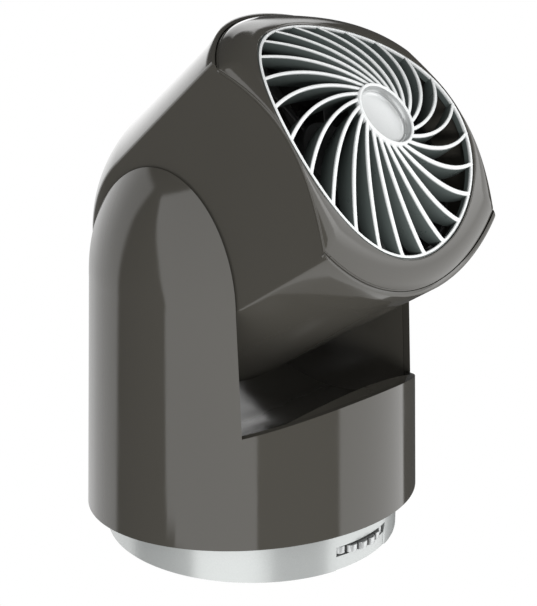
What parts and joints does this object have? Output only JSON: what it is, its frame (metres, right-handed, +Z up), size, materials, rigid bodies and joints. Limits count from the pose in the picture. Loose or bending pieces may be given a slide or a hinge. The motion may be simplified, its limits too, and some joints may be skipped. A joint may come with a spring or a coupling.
{
  "type": "air circulator fan",
  "caption": "Table air circulator: a drum-shaped fan head with a swirl grille tilts between the arms of a round body on a silver base ring with a speed thumbwheel.",
  "frame": {"origin": "on the body's axis, on the plane the rubber feet stand on", "axes": "+Z up, +X along the tilt axis; the fan faces -Y and is tilted up by 37.3 degrees in the stored pose"},
  "size_m": [0.168, 0.1865, 0.2541],
  "materials": {
    "shell_plastic": "gloss warm dark grey",
    "cradle_plastic": "gloss warm dark grey",
    "ring_silver": "satin silver",
    "dial_silver": "satin silver",
    "disc_silver": "satin silver white",
    "grille_white": "white front edges, satin",
    "black_plastic": "moulded black",
    "impeller_plastic": "moulded black",
    "foot_rubber": "matt",
    "lead_cover": "extruded",
    "terminal_plastic": "moulded",
    "bush_plastic": "self-lubricating",
    "friction_lining": "friction lining",
    "zinc_steel": "zinc-plated",
    "winding_copper": "lacquered winding",
    "bearing_bronze": "sintered bronze"
  },
  "bodies": {
    "body": {"body_shell": "shell_plastic", "cradle": "cradle_plastic", "left_arm_cover": "cradle_plastic", "right_arm_cover": "cradle_plastic", "cover_screws": "zinc_steel", "shell_floor": "black_plastic", "floor_screws": "zinc_steel", "base_ring": "ring_silver", "base_plate": "black_plastic", "base_screws": "zinc_steel", "rubber_feet": "foot_rubber", "cord_bush": "foot_rubber", "terminal_block": "terminal_plastic", "body_lead": "lead_cover", "rotary_switch": "black_plastic", "switch_screws": "zinc_steel", "left_bush": "bush_plastic", "right_bush": "bush_plastic"},
    "head": {"head_shell": "shell_plastic", "front_bezel": "shell_plastic", "front_grille": "grille_white", "hub_disc": "disc_silver", "rear_grille": "black_plastic", "head_screws": "zinc_steel", "air_duct": "black_plastic", "motor_carrier": "black_plastic", "motor_can": "zinc_steel", "motor_stator": "winding_copper", "front_bearing": "bearing_bronze", "rear_bearing": "bearing_bronze", "motor_screws": "zinc_steel", "motor_lead": "lead_cover", "left_pivot": "zinc_steel", "right_pivot": "zinc_steel", "friction_washers": "friction_lining", "wave_washers": "zinc_steel", "pivot_nuts": "zinc_steel"},
    "fan": {"impeller": "impeller_plastic", "impeller_nut": "zinc_steel", "motor_shaft": "zinc_steel", "motor_rotor": "zinc_steel"},
    "dial": {"speed_dial": "dial_silver", "dial_spindle": "zinc_steel"}
  },
  "joints": [
    {"name": "head_tilt", "type": "hinge", "parent": "body", "child": "head", "pos_m": [0, 0, 0.1494], "axis": [-1, 0, 0], "range_deg": [-27.3, 52.7]},
    {"name": "fan_spin", "type": "hinge", "parent": "head", "child": "fan", "pos_m": [0, 0.00182, 0.15179], "axis": [0, -0.7955, 0.606], "continuous": true},
    {"name": "dial_turn", "type": "hinge", "parent": "body", "child": "dial", "pos_m": [0, -0.0511, 0], "axis": [0, 0, 1], "range_deg": [0, 90]}
  ]
}
